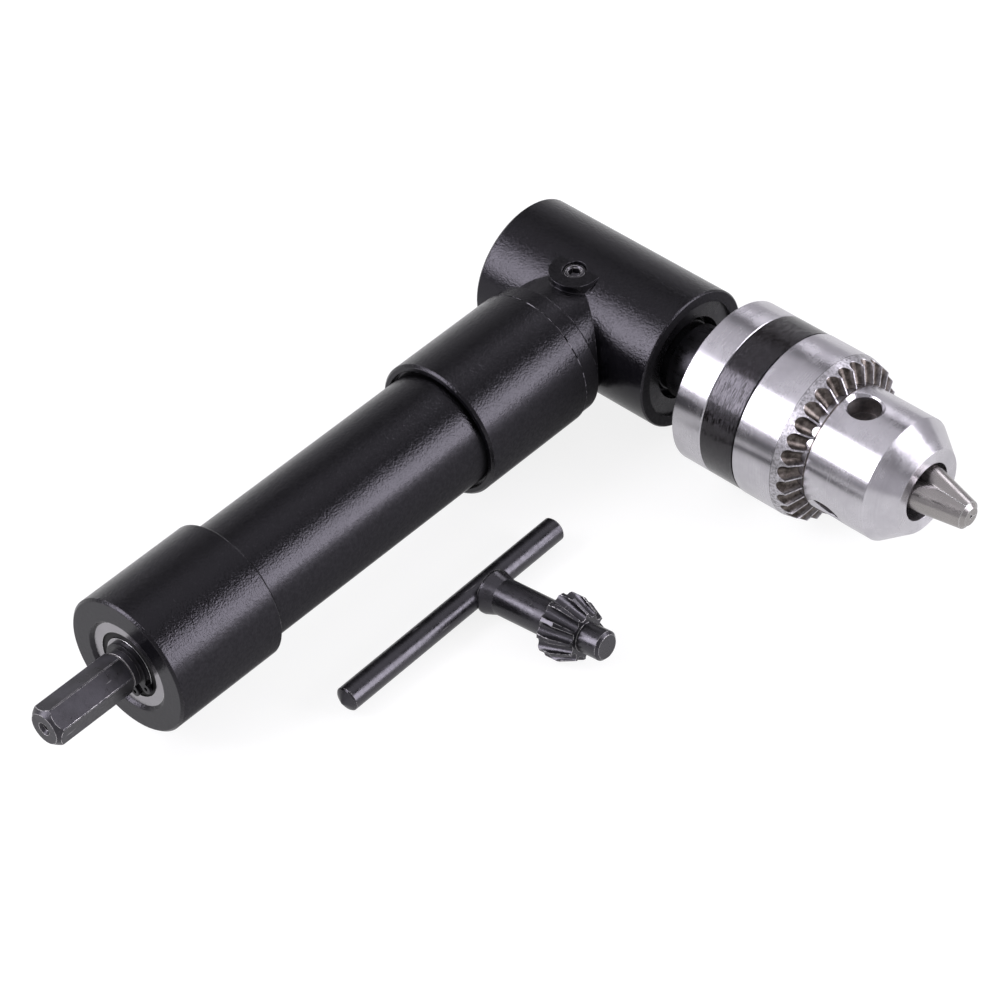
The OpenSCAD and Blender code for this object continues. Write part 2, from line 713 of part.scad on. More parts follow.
module drive_shaft() {
  color("#3a3940") placed() difference() {
    union() {
      along_x(-shank_end) intersection() {
        rotate([0, 0, hex_turn]) cylinder(r = hex_af / sqrt(3), h = shank_end - shank_shoulder, $fn = 6);
        shank_blank();
      }
      along_x(-shank_shoulder)
        cylinder(d = shaft_bearing_bore, h = shank_shoulder - neck_bearing_front);
      along_x(-shank_shoulder - over) cylinder(d = pinion_seat_d, h = 2 * over);
      along_x(-neck_bearing_front - over)
        cylinder(d = pinion_seat_d, h = over + neck_bearing_front - bevel_small - edge);
    }
    along_x(-shank_end - over) cylinder(d = centre_hole_d, h = centre_hole_depth + over, $fn = 24);
    along_x(-shank_end - edge) cylinder(r1 = centre_hole_d, r2 = 0, h = centre_hole_d + edge, $fn = 24);
    along_x(-rear_bearing_back - snap_t)
      ring(shaft_bearing_bore / 2 - snap_groove, shaft_bearing_bore, snap_t);
    along_x(-neck_bearing_front) feather(pinion_seat_d, pinion_hub_len);
  }
}

module drive_pinion() {
  color("#77757c") placed() difference() {
    along_x(0) bevel_gear(pinion_seat_d, pinion_hub_len);
    along_x(-neck_bearing_front) feather(pinion_seat_d, pinion_hub_len);
  }
}

module pinion_feather() {
  color("#8d8b92") placed() along_x(-neck_bearing_front) feather(pinion_seat_d, pinion_hub_len);
}

module shaft_snap_ring() {
  color("#24242a") placed() along_x(-rear_bearing_back - snap_t) rotate([0, 0, snap_turn])
    snap_ring(shaft_bearing_bore);
}

// Spindle and its gear
module spindle() {
  thread_end = chuck_back + spindle_thread_len;
  color("#222228") placed() difference() {
    union() {
      along_y(-thread_end) chamfered(spindle_thread_d / 2, thread_end - chuck_back + over, edge, 0);
      along_y(-chuck_back) cylinder(d = flange_d, h = chuck_back - head_front - edge);
      along_y(-head_front - edge - over)
        cylinder(r = spindle_bearing_bore / 2 + inner_race_share * race_gap(outer_bearing) - edge,
          h = over + head_front + edge + outer_bearing_front);
      along_y(outer_bearing_front - over) cylinder(d = spindle_bearing_bore, h = over + spindle_bearing_w);
      along_y(outer_bearing_back - over)
        cylinder(d = shaft_bearing_bore, h = over + spindle_tip - outer_bearing_back);
    }
    along_y(inner_bearing_back) ring(shaft_bearing_bore / 2 - snap_groove, shaft_bearing_bore, snap_t);
    along_y(-thread_end - over) cylinder(d = chuck_screw_d, h = spindle_thread_len + over);
    along_y(inner_bearing_front - feather_len) feather(shaft_bearing_bore, feather_len);
  }
}

module spindle_gear() {
  color("#77757c") placed() difference() {
    rotate([90, 0, 0]) rotate([0, 0, 180 / bevel_teeth]) bevel_gear(shaft_bearing_bore, gear_hub_len);
    along_y(inner_bearing_front - feather_len) feather(shaft_bearing_bore, feather_len);
  }
}

module gear_feather() {
  color("#8d8b92") placed() along_y(inner_bearing_front - feather_len)
    feather(shaft_bearing_bore, feather_len);
}

module spindle_snap_ring() {
  color("#24242a") placed() along_y(inner_bearing_back) snap_ring(shaft_bearing_bore);
}

// Chuck: a jaw's own cylinder, from behind its back end to its tip
module jaw_cylinder(r, back, front) {
  slide = (jaw_tip - back) / cos(jaw_slant);
  ahead = (front - jaw_tip) / cos(jaw_slant);
  translate([jaw_axis_r, -jaw_tip, 0]) rotate([-90, 0, 0]) rotate([0, jaw_slant, 0])
    translate([0, 0, -ahead]) cylinder(r = r, h = slide + ahead);
}

// Turns children about the chuck axis, from -X toward +Z
module chuck_azimuth(a) {
  rotate([0, a + 180, 0]) children();
}

module chuck_body() {
  cavity_back = jaw_back - jaw_stroke - edge;
  color("#b4b2b8") placed() difference() {
    chuck_turned([
      [0, chuck_back], [flange_band_d / 2 - edge, chuck_back], [flange_band_d / 2, chuck_back + edge],
      [flange_band_d / 2, flange_front - edge], [flange_band_d / 2 - edge, flange_front],
      [flange_band_d / 2 - black_band_wall, flange_front],
      [flange_band_d / 2 - black_band_wall, band_front],
      [land_r, band_front], [land_r, nut_slot_back], [jaw_slot_r, nut_slot_back],
      [jaw_slot_r, nut_slot_front], [nose_d / 2, nut_slot_front], [nose_d / 2, cone_start],
      [face_d / 2, nose_face], [0, nose_face]
    ]);
    along_y(-nose_face - over) cylinder(d = mouth_d, h = mouth_depth + over);
    along_y(-nose_face - over) cylinder(d = core_bore_d, h = nose_face - screw_seat + over);
    along_y(-screw_seat - over) cylinder(d = chuck_screw_d, h = screw_seat - chuck_back + over);
    along_y(-chuck_back - spindle_thread_len) cylinder(d = spindle_thread_d, h = spindle_thread_len + over);
    intersection() {
      for (a = jaw_turns) chuck_azimuth(a) jaw_cylinder(jaw_d / 2 + jaw_fit, cavity_back - over, jaw_tip);
      along_y(-jaw_tip) cylinder(r = jaw_room_r, h = jaw_tip - cavity_back);
    }
    for (a = [0, 120, 240]) chuck_azimuth(90 + a) translate([0, -key_hole_at, 0]) rotate([0, 90, 0]) {
      translate([0, 0, key_hole_floor]) cylinder(d = key_hole_d, h = nose_d);
      translate([0, 0, nose_d / 2 - key_sink_depth])
        cylinder(d1 = key_hole_d, d2 = key_hole_d + 2 * (key_sink_depth + over), h = key_sink_depth + over);
    }
  }
}

module black_band() {
  color("#131318") placed() along_y(-band_front)
    ring(flange_band_d / 2 - black_band_wall, flange_band_d / 2, black_band_w);
}

module chuck_screw() {
  head_front_at = screw_seat + chuck_screw_head_h;
  color("#33333a") placed() difference() {
    union() {
      along_y(-head_front_at) chamfered(chuck_screw_head_d / 2, chuck_screw_head_h, edge, 0);
      along_y(-screw_seat - over) cylinder(d = chuck_screw_d, h = over + screw_seat - chuck_back);
    }
    along_y(-head_front_at - over)
      cylinder(d = chuck_screw_d * socket_share, h = chuck_screw_head_h * socket_share + over, $fn = 6);
  }
}

// Sleeve with the ring gear
module gear_sleeve() {
  slope = atan(crest_len / ((crest_outer_d - crest_inner_d) / 2));
  crest_run = (crest_outer_d - crest_inner_d) / 2 / cos(slope);
  widen = (gap_outer_r - gap_inner_r) / crest_run;
  color("#bdbbc1") placed() difference() {
    chuck_turned([
      [jaw_line(sleeve_start) + edge, sleeve_start], [sleeve_d / 2 - edge, sleeve_start],
      [sleeve_d / 2, sleeve_start + edge], [sleeve_d / 2, taper_start],
      [crest_outer_d / 2, crest_start], [crest_inner_d / 2, crest_end],
      [nose_d / 2 + sleeve_fit, crest_end], [nose_d / 2 + sleeve_fit, nut_slot_front - sleeve_fit],
      [nut_d / 2, nut_slot_front - sleeve_fit], [nut_d / 2, jaw_line_at(nut_d / 2 - edge)]
    ]);
    for (i = [0 : ring_teeth - 1]) chuck_azimuth(i * 360 / ring_teeth)
      translate([crest_inner_d / 2, -crest_end, 0]) rotate([0, 0, slope]) rotate([0, 90, 0])
        translate([0, 0, -over])
          cylinder(r1 = gap_inner_r - over * widen, r2 = gap_outer_r + (2 * over + over) * widen,
            h = crest_run + 4 * over, $fn = 48);
  }
}

// Split nut, pressed into the sleeve
module nut_ring() {
  back = nut_slot_back + sleeve_fit;
  front = nut_slot_front - sleeve_fit;
  chuck_turned([
    [jaw_line(back) + sleeve_fit, back], [nut_d / 2, back], [nut_d / 2, front],
    [jaw_line(front) + sleeve_fit, front]
  ]);
}

module nut_half(side) {
  color("#8a888f") placed() intersection() {
    nut_ring();
    translate([-nut_d, -jaw_tip, side > 0 ? nut_split / 2 : -nut_d])
      cube([2 * nut_d, jaw_tip, nut_d - nut_split / 2]);
  }
}

module nut_half_upper() {
  nut_half(1);
}

module nut_half_lower() {
  nut_half(-1);
}

// A closed jaw: the slanted cylinder, cut to its third of the circle
module jaw(a) {
  thread_start = jaw_line_at(jaw_back_r);
  thread_turns = floor((nut_slot_front + jaw_stroke - thread_start) / jaw_pitch);
  color("#8f8c90") placed() chuck_azimuth(a) difference() {
    intersection() {
      jaw_cylinder(jaw_d / 2, jaw_back - jaw_len, jaw_tip + jaw_d);
      translate([0, -jaw_tip, -jaw_back_r]) cube([jaw_back_r + over, jaw_len, 2 * jaw_back_r]);
      chuck_turned([
        [0, jaw_back], [jaw_back_r, jaw_back], [jaw_back_r, jaw_tip - 2 * jaw_chamfer],
        [jaw_tip_r, jaw_tip - jaw_chamfer], [jaw_tip_r - jaw_chamfer, jaw_tip], [0, jaw_tip]
      ]);
    }
    for (s = [0, 1]) mirror([0, 0, s]) rotate([0, -60, 0])
      translate([-jaw_len, -jaw_tip - over, -jaw_fit]) cube([2 * jaw_len, jaw_len + 2 * over, jaw_len]);
    translate([-jaw_back_r, -jaw_tip - over, -jaw_back_r])
      cube([jaw_back_r + jaw_land, jaw_len + 2 * over, 2 * jaw_back_r]);
    for (k = [1 : thread_turns]) jaw_thread_cut(thread_start + k * jaw_pitch);
  }
}

// One turn of the thread on the jaws, a V groove around the chuck axis
module jaw_thread_cut(at) {
  deep = jaw_line(at) - jaw_thread_depth;
  half = jaw_pitch / 2 - jaw_fit;
  chuck_turned([
    [deep, at], [deep + 2 * jaw_thread_depth, at - half], [deep + 2 * jaw_thread_depth, at + half]
  ]);
}

module jaw_one() {
  jaw(jaw_turns[0]);
}

module jaw_two() {
  jaw(jaw_turns[1]);
}

module jaw_three() {
  jaw(jaw_turns[2]);
}

// Chuck key, built along x from its bar, then laid on the surface
module key_placed() {
  color("#1f1f24") placed() translate([-key_back, -key_side, key_rise - base_drop])
    rotate([0, -key_tilt, key_turn]) children();
}

module key_shank() {
  rim_front = key_pinion_start + key_rim_len;
  tip = key_small_at + pilot_len;
  key_placed() difference() {
    along_x(0) rotate_extrude() polygon([
      [0, hub_end], [key_boss_d / 2 - edge, hub_end], [key_boss_d / 2, hub_end + edge],
      [key_boss_d / 2, bar_d / 2 + edge], [key_shank_d / 2, hub_neck],
      [key_shank_d / 2, key_pinion_start], [key_rim_d / 2 - edge, key_pinion_start],
      [key_rim_d / 2, key_pinion_start + edge], [key_rim_d / 2, rim_front],
      [key_small_d / 2, key_small_at], [pilot_d / 2, key_small_at],
      [pilot_d / 2, tip - 2 * edge], [pilot_d / 2 - 2 * edge, tip], [0, tip]
    ]);
    translate([0, -bar_long, 0]) rotate([-90, 0, 0]) cylinder(d = bar_d, h = bar_long + bar_short);
    for (i = [0 : key_teeth - 1]) rotate([i * 360 / key_teeth, 0, 0]) key_tooth_gap();
  }
}

// Gap between two teeth of the key: a cone that runs down from behind the rim to the small end
module key_tooth_gap() {
  start = key_pinion_start + key_gap_wall;
  run = key_small_at - start;
  drop = key_rim_d / 2 + key_gap_lift - key_small_d / 2;
  cut_len = norm([run, drop]);
  widen = (key_gap_small_r - key_gap_r) / cut_len;
  translate([start, 0, key_rim_d / 2 + key_gap_lift]) rotate([0, 90 + atan(drop / run), 0])
    cylinder(r1 = key_gap_r, r2 = key_gap_small_r + over * widen, h = cut_len + over, $fn = 48);
}

module key_bar() {
  point = bar_d / 2 * point_share;
  key_placed() translate([0, bar_short, 0]) rotate([90, 0, 0]) rotate_extrude() polygon([
    [0, 0], [bar_d / 2 - edge, 0], [bar_d / 2, edge], [bar_d / 2, bar_long + bar_short - edge],
    [bar_d / 2 - edge, bar_long + bar_short], [0, bar_long + bar_short + point]
  ]);
}

rear_collar();
grip_tube();
front_collar();
head_housing();
grease_screw();
cover_plate();
rear_outer_race();
rear_balls();
rear_cage();
rear_seal();
rear_inner_race();
neck_outer_race();
neck_balls();
neck_cage();
neck_inner_race();
inner_spindle_outer_race();
inner_spindle_balls();
inner_spindle_cage();
inner_spindle_inner_race();
outer_spindle_outer_race();
outer_spindle_balls();
outer_spindle_cage();
outer_spindle_inner_race();
drive_shaft();
drive_pinion();
pinion_feather();
shaft_snap_ring();
spindle();
spindle_gear();
gear_feather();
spindle_snap_ring();
chuck_body();
black_band();
chuck_screw();
gear_sleeve();
nut_half_upper();
nut_half_lower();
jaw_one();
jaw_two();
jaw_three();
key_shank();
key_bar();
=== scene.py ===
import math
import bmesh
import bpy
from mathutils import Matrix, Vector


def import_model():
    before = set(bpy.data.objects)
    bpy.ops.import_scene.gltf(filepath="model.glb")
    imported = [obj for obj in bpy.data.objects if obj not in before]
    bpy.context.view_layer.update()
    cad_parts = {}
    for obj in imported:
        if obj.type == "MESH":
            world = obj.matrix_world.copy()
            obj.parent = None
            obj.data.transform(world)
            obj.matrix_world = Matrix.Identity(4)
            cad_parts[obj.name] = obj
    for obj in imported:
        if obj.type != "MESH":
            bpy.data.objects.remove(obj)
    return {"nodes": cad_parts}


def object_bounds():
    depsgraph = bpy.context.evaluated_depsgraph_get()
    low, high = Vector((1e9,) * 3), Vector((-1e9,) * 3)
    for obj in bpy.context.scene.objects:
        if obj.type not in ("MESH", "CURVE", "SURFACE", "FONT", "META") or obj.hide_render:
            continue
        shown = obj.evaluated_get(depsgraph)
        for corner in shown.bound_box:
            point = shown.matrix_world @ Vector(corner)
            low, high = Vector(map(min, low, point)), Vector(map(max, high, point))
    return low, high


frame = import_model()
nodes = frame["nodes"]
cad_lo, cad_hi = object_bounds()
scene = bpy.context.scene

# Lengths are in metres. The tube's axis runs along X and the chuck's axis along Y.
mm = 0.001
axis_z = 18 * mm
chuck_x = 69.75 * mm
tube_y = 38.075 * mm

# Two seams of the paint round the neck, as stations along X, and the radius that they stay inside.
neck_seams = (48.85 * mm, 53.2 * mm)
neck_seam_reach = 15.6 * mm

# Stations on the chuck, counted from the tube's axis toward the jaws.
sleeve_rim_start = 60.7 * mm
tooth_gap_start = 61.2 * mm
nose_start = 65.65 * mm
key_hole_start = 66 * mm
key_hole_end = 74.2 * mm

# Between the last two stations, what lies inside this radius is the wall of a key hole.
key_hole_reach = 12.9 * mm

# The tooth crests lie on a cone: its station at the axis, and how that changes with the radius.
crest_station, crest_slope = 71.77 * mm, -0.441
# So does the sleeve's rim: its radius at station 0, and how that changes with the station.
rim_radius, rim_slope = 30.13 * mm, -0.2


class Tree:
    """A node tree: each method adds a node and returns the socket it gives."""

    def __init__(self, tree):
        self.tree = tree

    def add(self, kind, **values):
        node = self.tree.nodes.new("ShaderNode" + kind)
        for name, value in values.items():
            setattr(node, name, value)
        return node

    def put(self, socket, value):
        """Link value to the socket, or write it there; None leaves the socket alone."""
        if isinstance(value, bpy.types.NodeSocket):
            self.tree.links.new(value, socket)
        elif value is not None:
            socket.default_value = value

    def fill(self, node, *values):
        """Fill the node's inputs in their order."""
        for socket, value in zip(node.inputs, values):
            self.put(socket, value)
        return node.outputs[0]

    def fill_named(self, node, **values):
        for name, value in values.items():
            self.put(node.inputs[name.replace("_", " ")], value)

    def calc(self, kind, a, b=None, c=None, clamp=False):
        return self.fill(self.add("Math", operation=kind, use_clamp=clamp), a, b, c)

    def mix(self, share, a, b):
        node = self.add("Mix", data_type="RGBA")
        for index, value in ((0, share), (6, a), (7, b)):
            self.put(node.inputs[index], value)
        return node.outputs[2]


class Mat(Tree):
    """A procedural material with one Principled shader."""

    def __init__(self, name):
        self.mat = bpy.data.materials.new(name)
        self.mat.use_nodes = True
        super().__init__(self.mat.node_tree)
        self.tree.nodes.clear()
        self.bsdf = self.add("BsdfPrincipled")
        self.tree.links.new(self.bsdf.outputs[0], self.add("OutputMaterial").inputs[0])

    def set(self, **values):
        self.fill_named(self.bsdf, **values)

    def coords(self):
        return self.add("TexCoord").outputs["Object"]

    def split(self, vector):
        node = self.add("SeparateXYZ")
        self.fill(node, vector)
        return node.outputs

    def join(self, x, y, z):
        return self.fill(self.add("CombineXYZ"), x, y, z)

    def stretch(self, vector, scales):
        return self.fill(self.add("VectorMath", operation="MULTIPLY"), vector, scales)

    def noise(self, vector, scale, detail, rough=0.5):
        node = self.add("TexNoise")
        self.fill_named(node, Vector=vector, Scale=scale, Detail=detail, Roughness=rough)
        return node.outputs[0]

    def cells(self, vector, scale):
        node = self.add("TexVoronoi")
        self.fill_named(node, Vector=vector, Scale=scale)
        return node.outputs["Distance"]

    def span(self, value, a, b, c=0.0, d=1.0):
        """Take value from the range a to b smoothly to the range c to d."""
        return self.fill(self.add("MapRange", interpolation_type="SMOOTHSTEP"), value, a, b, c, d)

    def line(self, value, at, inner, outer, level=1.0):
        """level where value is within inner of at, and 0 where it is past outer."""
        away = self.calc("ABSOLUTE", self.calc("SUBTRACT", value, at))
        return self.span(away, inner, outer, level, 0.0)

    def bevel(self, radius):
        node = self.add("Bevel", samples=6)
        self.fill_named(node, Radius=radius)
        return node.outputs[0]

    def edge(self, radius, flat, sharp):
        """1 along the edges and 0 on flat ground.

        flat and sharp are the cosines of the bend where it starts and where it is full.
        """
        node = self.add("VectorMath", operation="DOT_PRODUCT")
        self.fill(node, self.bevel(radius), self.add("NewGeometry").outputs["Normal"])
        return self.span(node.outputs["Value"], flat, sharp)

    def bump(self, height, depth, normal=None, strength=1.0):
        node = self.add("Bump")
        self.fill_named(node, Height=height, Distance=depth, Strength=strength, Normal=normal)
        return node.outputs[0]

    def around(self, axis):
        """Places round the tube's axis (x) or the chuck's axis (y): along, radius, and the two across."""
        x, y, z = self.split(self.coords())
        up = self.calc("SUBTRACT", z, axis_z)
        if axis == "x":
            along, side = x, self.calc("SUBTRACT", y, tube_y)
        else:
            along, side = y, self.calc("SUBTRACT", x, chuck_x)
        squares = [self.calc("MULTIPLY", v, v) for v in (side, up)]
        return along, self.calc("SQRT", self.calc("ADD", *squares)), side, up

    def rings(self, axis, pitch, drift):
        """Coordinates of a turned surface: fine along the axis and the radius, slow around it."""
        along, radius, side, up = self.around(axis)
        radius_share = 0.7
        fine = self.calc("MULTIPLY_ADD", radius, radius_share, along)
        return self.join(self.calc("MULTIPLY", fine, 1 / pitch), self.calc("MULTIPLY", side, drift),
                         self.calc("MULTIPLY", up, drift))

    def facing(self, axis, least):
        """1 where the surface faces along the axis and 0 elsewhere."""
        normal = self.split(self.add("TexCoord").outputs["Normal"])
        return self.span(self.calc("ABSOLUTE", normal["xyz".index(axis)]), least - 0.1, least + 0.05)

    def tangent(self, axis):
        """The direction round the axis, in world space."""
        _, _, side, up = self.around(axis)
        back = self.calc("MULTIPLY", up, -1.0)
        way = self.join(0.0, back, side) if axis == "x" else self.join(back, 0.0, side)
        turn = self.add("VectorTransform", vector_type="VECTOR", convert_from="OBJECT", convert_to="WORLD")
        return self.fill(self.add("VectorMath", operation="NORMALIZE"), self.fill(turn, way))


def gray(v, tint=(1, 1, 1)):
    return (v * tint[0], v * tint[1], v * tint[2], 1)


def paint():
    """Gloss black paint with orange peel, a sandy grain, turned streaks and painted highlight flecks along
    the neck's seams.
    """
    m = Mat("gloss_black_paint")
    p = m.coords()
    along, radius, _, _ = m.around("x")
    ends, head_ends = m.facing("x", 0.9), m.facing("y", 0.9)

    wavy = m.calc("MULTIPLY_ADD", m.noise(p, 160, 3), 0.5 * mm, along)
    lines = [m.line(wavy, at, 0.05 * mm, 0.3 * mm) for at in neck_seams]
    on_neck = m.span(radius, neck_seam_reach, neck_seam_reach - 0.3 * mm)
    seam = m.calc("MULTIPLY", m.calc("MAXIMUM", *lines), on_neck)
    # Broken flecks along the neck's seams: a painted highlight of the seams' lit edges.
    seam_highlight_flecks = m.calc("MULTIPLY", seam, m.span(m.noise(p, 600, 3, 0.6), 0.42, 0.54))
    flakes = m.span(m.noise(p, 480, 4, 0.7), 0.52, 0.6, 0.0, 0.35)
    rim = m.calc("MULTIPLY", m.edge(0.2 * mm, 0.99, 0.9), flakes)

    peel = m.noise(p, 600, 3, 0.6)
    grain = m.calc("MULTIPLY", m.noise(p, 2500, 2, 0.6), m.calc("MULTIPLY_ADD", ends, -0.75, 1.0))
    streaks = m.noise(m.rings("x", 0.3 * mm, 220), 1.0, 3)
    specks = m.span(m.cells(p, 330), 0.0, 0.08, 1.0, 0.0)
    normal = m.bump(peel, 0.024 * mm, m.bevel(0.35 * mm))
    normal = m.bump(grain, 0.09 * mm, normal)
    normal = m.bump(streaks, 0.016 * mm, normal)
    normal = m.bump(specks, 0.012 * mm, normal, 0.5)
    normal = m.bump(seam, -0.22 * mm, normal)

    rough = m.span(m.noise(p, 1300, 3, 0.6), 0.34, 0.66, 0.1, 0.21)
    rough = m.calc("ADD", rough, m.calc("MULTIPLY", ends, 0.06))
    rough = m.calc("ADD", rough, m.calc("MULTIPLY", head_ends, 0.6))
    tone = m.mix(m.noise(p, 70, 3), gray(0.001, (1, 0.95, 1.1)), gray(0.0025, (1, 0.94, 1.12)))
    # The faces across the tube's axis get a lighter, bluer tone: painted light on those end faces.
    tone = m.mix(ends, tone, gray(0.004, (1, 0.95, 1.25)))
    # Light grey: painted highlight flecks along the seams, and paint flaked off the edges.
    tone = m.mix(m.calc("MAXIMUM", seam_highlight_flecks, rim), tone, gray(0.4, (1, 0.96, 1.05)))
    m.set(Base_Color=tone, Roughness=rough, Specular_IOR_Level=0.38, Specular_Tint=(1, 0.96, 1.08, 1),
          Normal=normal)
    return m.mat


def chuck_steel(name, soft, stain_and_shade_mask, cast=None):
    """Turned and polished steel: fine lines round the axis and a soft mottling.

    soft is how far its edges are rounded. stain_and_shade_mask gives where it is brown and dull, partly a
    brown staining and partly painted shade, and cast where it is left grainy and where a dark line runs.
    """
    m = Mat(name)
    p = m.coords()
    fine = m.noise(m.rings("y", 0.13 * mm, 3), 1.0, 4, 0.75)
    coarse = m.noise(m.rings("y", 0.9 * mm, 3), 1.0, 3, 0.6)
    scuff = m.noise(p, 900, 4, 0.7)
    smudge = m.noise(p, 110, 4, 0.6)
    normal = m.bump(fine, 0.002 * mm, m.bevel(soft))
    normal = m.bump(coarse, 0.0015 * mm, normal)
    normal = m.bump(scuff, 0.004 * mm, normal)
    mottle = m.calc("MULTIPLY_ADD", smudge, 0.5, m.calc("MULTIPLY", fine, 0.5))
    tone = m.mix(m.span(mottle, 0.38, 0.62), gray(0.55, (1, 0.97, 1.04)), gray(0.69, (1, 0.975, 1.03)))
    rough = m.calc("ADD", m.span(fine, 0.3, 0.7, 0.21, 0.27), m.span(smudge, 0.45, 0.65, 0.0, 0.08))

    if cast:
        grainy, line = cast(m)
        pits = m.noise(p, 1700, 3, 0.65)
        normal = m.bump(m.calc("MULTIPLY", pits, grainy), 0.05 * mm, normal)
        dark_pits = m.calc("MULTIPLY", grainy, m.span(pits, 0.6, 0.35))
        tone = m.mix(dark_pits, tone, gray(0.3, (1, 0.97, 1.02)))
        tone = m.mix(line, tone, gray(0.12))
        rough = m.calc("ADD", rough, m.calc("MULTIPLY", grainy, 0.1))

    # Brown, duller metal: brown staining in the tooth gaps, with painted shade that deepens into the gaps,
    # and painted shade in the key holes and the gap at the nose.
    stained_and_shaded = stain_and_shade_mask(m)
    blots = m.span(m.noise(p, 380, 4, 0.7), 0.35, 0.65)
    brown_stain_and_shade = m.mix(blots, gray(0.05, (1, 0.82, 0.72)), gray(0.22, (1, 0.87, 0.79)))
    m.set(Base_Color=m.mix(stained_and_shaded, tone, brown_stain_and_shade), Metallic=m.calc("MULTIPLY_ADD", stained_and_shaded, -0.1, 1.0),
          Roughness=m.calc("ADD", rough, m.calc("MULTIPLY", stained_and_shaded, 0.1)), Anisotropic=0.75,
          Anisotropic_Rotation=0.25, Tangent=m.tangent("y"), Normal=normal)
    return m.mat


def on_chuck(m):
    """The radius round the chuck's axis, and the station along it."""
    along, radius, _, _ = m.around("y")
    return radius, m.calc("SUBTRACT", tube_y, along)


def tooth_gaps(m):
    """Where the sleeve's surface lies behind its tooth crests and inside its tapered rim; deeper is darker,
    as painted shade.
    """
    radius, station = on_chuck(m)
    crest = m.calc("MULTIPLY_ADD", radius, crest_slope, crest_station)
    deep = m.calc("SUBTRACT", crest, station)
    below_crest = m.span(deep, 0.06 * mm, 0.12 * mm)
    # The share grows with the depth below the crests: painted shade in the gaps.
    behind = m.calc("MULTIPLY", below_crest, m.span(deep, 0.1 * mm, 1.0 * mm, 0.5, 1.0))
    rim = m.calc("MULTIPLY_ADD", station, rim_slope, rim_radius)
    inside = m.span(m.calc("SUBTRACT", rim, radius), 0.06 * mm, 0.16 * mm)
    ahead = m.span(station, tooth_gap_start, tooth_gap_start + 0.4 * mm)
    return m.calc("MULTIPLY", m.calc("MULTIPLY", behind, inside), ahead)


def sleeve_rim(m):
    """The sleeve's tapered rim, and the line that starts it."""
    _, station = on_chuck(m)
    rim = m.span(station, sleeve_rim_start, sleeve_rim_start + 0.1 * mm)
    return rim, m.line(station, sleeve_rim_start, 0.02 * mm, 0.11 * mm, 0.7)


def key_holes(m):
    """Painted shade where the nose's surface lies inside a key hole, and a dark line of shade where it comes
    out of the sleeve.
    """
    radius, station = on_chuck(m)
    # Inside a key hole the metal is made brown and dark: painted shade.
    low = m.span(radius, key_hole_reach, key_hole_reach - 0.4 * mm, 0.0, 0.8)
    past_start = m.span(station, key_hole_start, key_hole_start + 0.2 * mm)
    before_end = m.span(station, key_hole_end, key_hole_end - 0.2 * mm)
    hole = m.calc("MULTIPLY", low, m.calc("MULTIPLY", past_start, before_end))
    return m.calc("MAXIMUM", hole, m.line(station, nose_start, 0.12 * mm, 0.3 * mm, 0.95))


def band_steel():
    """Black oxide over turned steel: it shines like glass, with fine turned scratches in the highlight."""
    m = Mat("blackened_band")
    p = m.coords()
    fine = m.noise(m.rings("y", 0.08 * mm, 60), 1.0, 3, 0.7)
    arcs = m.span(m.noise(m.rings("y", 0.1 * mm, 500), 1.0, 3, 0.7), 0.5, 0.7)
    scuff = m.noise(p, 1100, 4, 0.7)
    normal = m.bump(fine, 0.003 * mm, m.bevel(0.12 * mm))
    normal = m.bump(arcs, 0.014 * mm, normal)
    normal = m.bump(scuff, 0.008 * mm, normal)
    tone = m.mix(m.noise(p, 120, 3), gray(0.001, (1, 1, 1.25)), gray(0.004, (1.3, 0.95, 0.8)))
    m.set(Base_Color=tone, Metallic=0.0, Roughness=m.span(scuff, 0.35, 0.68, 0.05, 0.11),
          Specular_IOR_Level=0.58, Specular_Tint=(1, 0.96, 1.06, 1), Normal=normal)
    return m.mat


def dark_steel(name, tone, rough, wear, spec=0.5, soft=0.2 * mm, glint=0.46):
    """Blackened or phosphated steel: a fine grain, long streaks and patches, with edges worn to the metal.

    wear is how bright a worn edge is, spec how strongly the steel shines, and soft how far its edges
    are rounded. The lower glint is, the more of each edge is worn.
    """
    m = Mat(name)
    p = m.coords()
    grain = m.noise(p, 1700, 4, 0.7)
    streaks = m.noise(m.stretch(p, (900, 260, 900)), 1.0, 3, 0.6)
    patches = m.noise(p, 210, 4, 0.65)
    broken = m.span(m.noise(p, 700, 4, 0.7), glint, glint + 0.1)
    edges = m.calc("MULTIPLY", m.edge(soft, 0.995, 0.96), broken, clamp=True)
    scratches = m.span(m.noise(m.stretch(p, (160, 1400, 900)), 1.0, 2, 0.5), 0.7, 0.76, 0.0, 0.22)
    worn = m.calc("MAXIMUM", edges, scratches)
    base = m.mix(m.span(patches, 0.35, 0.65), gray(tone), gray(tone * 2.2, (1, 0.97, 1.1)))
    streak_rough = m.span(streaks, 0.3, 0.7, rough - 0.05, rough + 0.08)
    patch_rough = m.span(patches, 0.3, 0.7, -0.05, 0.05)
    normal = m.bump(grain, 0.016 * mm, m.bevel(soft))
    normal = m.bump(streaks, 0.008 * mm, normal)
    normal = m.bump(patches, 0.02 * mm, normal)
    m.set(Base_Color=m.mix(worn, base, gray(wear, (1, 0.97, 0.98))), Metallic=m.calc("MULTIPLY", worn, 0.8),
          Roughness=m.calc("ADD", streak_rough, patch_rough), Specular_IOR_Level=spec,
          Specular_Tint=(1, 0.96, 1.08, 1), Normal=normal)
    return m.mat


